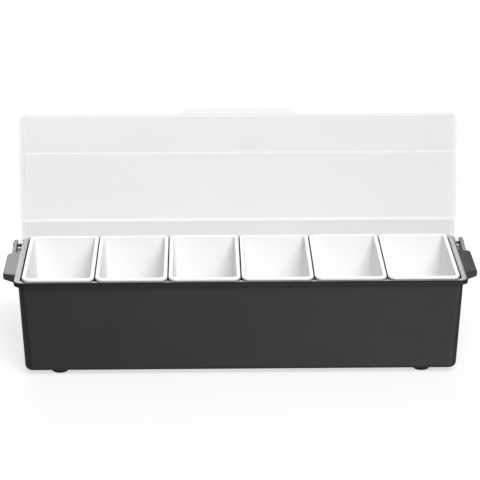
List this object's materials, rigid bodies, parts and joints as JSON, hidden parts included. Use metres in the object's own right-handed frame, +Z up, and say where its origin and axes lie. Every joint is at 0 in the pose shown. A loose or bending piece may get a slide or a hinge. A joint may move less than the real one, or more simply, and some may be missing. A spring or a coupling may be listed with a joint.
{
  "type": "chilled condiment server",
  "caption": "Long ice-cooled condiment server: charcoal tub on rubber feet, lift-out white trays side by side, end grips and a clear hinged lid that folds back.",
  "frame": {"origin": "on the counter under the middle of the outline with the lid open, 30.5 mm behind the middle of the tub", "axes": "+X to the right along the row of trays as seen from the front, +Y to the back where the lid hinges, +Z up"},
  "size_m": [0.519, 0.2115, 0.2476],
  "materials": {
    "tub_plastic": "satin moulded charcoal plastic",
    "handle_plastic": "satin black moulded plastic",
    "clear_plastic": "clear polished plastic",
    "tray_plastic": "smooth white food-grade plastic",
    "foot_rubber": "matt black rubber",
    "screw_steel": "plain stainless steel",
    "pin_plastic": "smooth black plastic"
  },
  "bodies": {
    "base": {"ice_tub": "tub_plastic", "end_handle_left": "handle_plastic", "end_handle_right": "handle_plastic", "handle_screws_left": "screw_steel", "handle_screws_right": "screw_steel", "hinge_pin_left": "pin_plastic", "hinge_pin_right": "pin_plastic", "foot_front_left": "foot_rubber", "foot_front_right": "foot_rubber", "foot_rear_left": "foot_rubber", "foot_rear_right": "foot_rubber"},
    "lid": {"lid": "clear_plastic"},
    "tray_1": {"tray_1": "tray_plastic"},
    "tray_2": {"tray_2": "tray_plastic"},
    "tray_3": {"tray_3": "tray_plastic"},
    "tray_4": {"tray_4": "tray_plastic"},
    "tray_5": {"tray_5": "tray_plastic"},
    "tray_6": {"tray_6": "tray_plastic"}
  },
  "joints": [
    {"name": "lid_hinge", "type": "hinge", "parent": "base", "child": "lid", "pos_m": [0, 0.0375, 0.105], "axis": [-1, 0, 0], "range_deg": [-105, 0]},
    {"name": "tray_1_lift", "type": "slide", "parent": "base", "child": "tray_1", "axis": [0, 0, 1], "range_m": [0, 0.12]},
    {"name": "tray_2_lift", "type": "slide", "parent": "base", "child": "tray_2", "axis": [0, 0, 1], "range_m": [0, 0.12]},
    {"name": "tray_3_lift", "type": "slide", "parent": "base", "child": "tray_3", "axis": [0, 0, 1], "range_m": [0, 0.12]},
    {"name": "tray_4_lift", "type": "slide", "parent": "base", "child": "tray_4", "axis": [0, 0, 1], "range_m": [0, 0.12]},
    {"name": "tray_5_lift", "type": "slide", "parent": "base", "child": "tray_5", "axis": [0, 0, 1], "range_m": [0, 0.12]},
    {"name": "tray_6_lift", "type": "slide", "parent": "base", "child": "tray_6", "axis": [0, 0, 1], "range_m": [0, 0.12]}
  ]
}
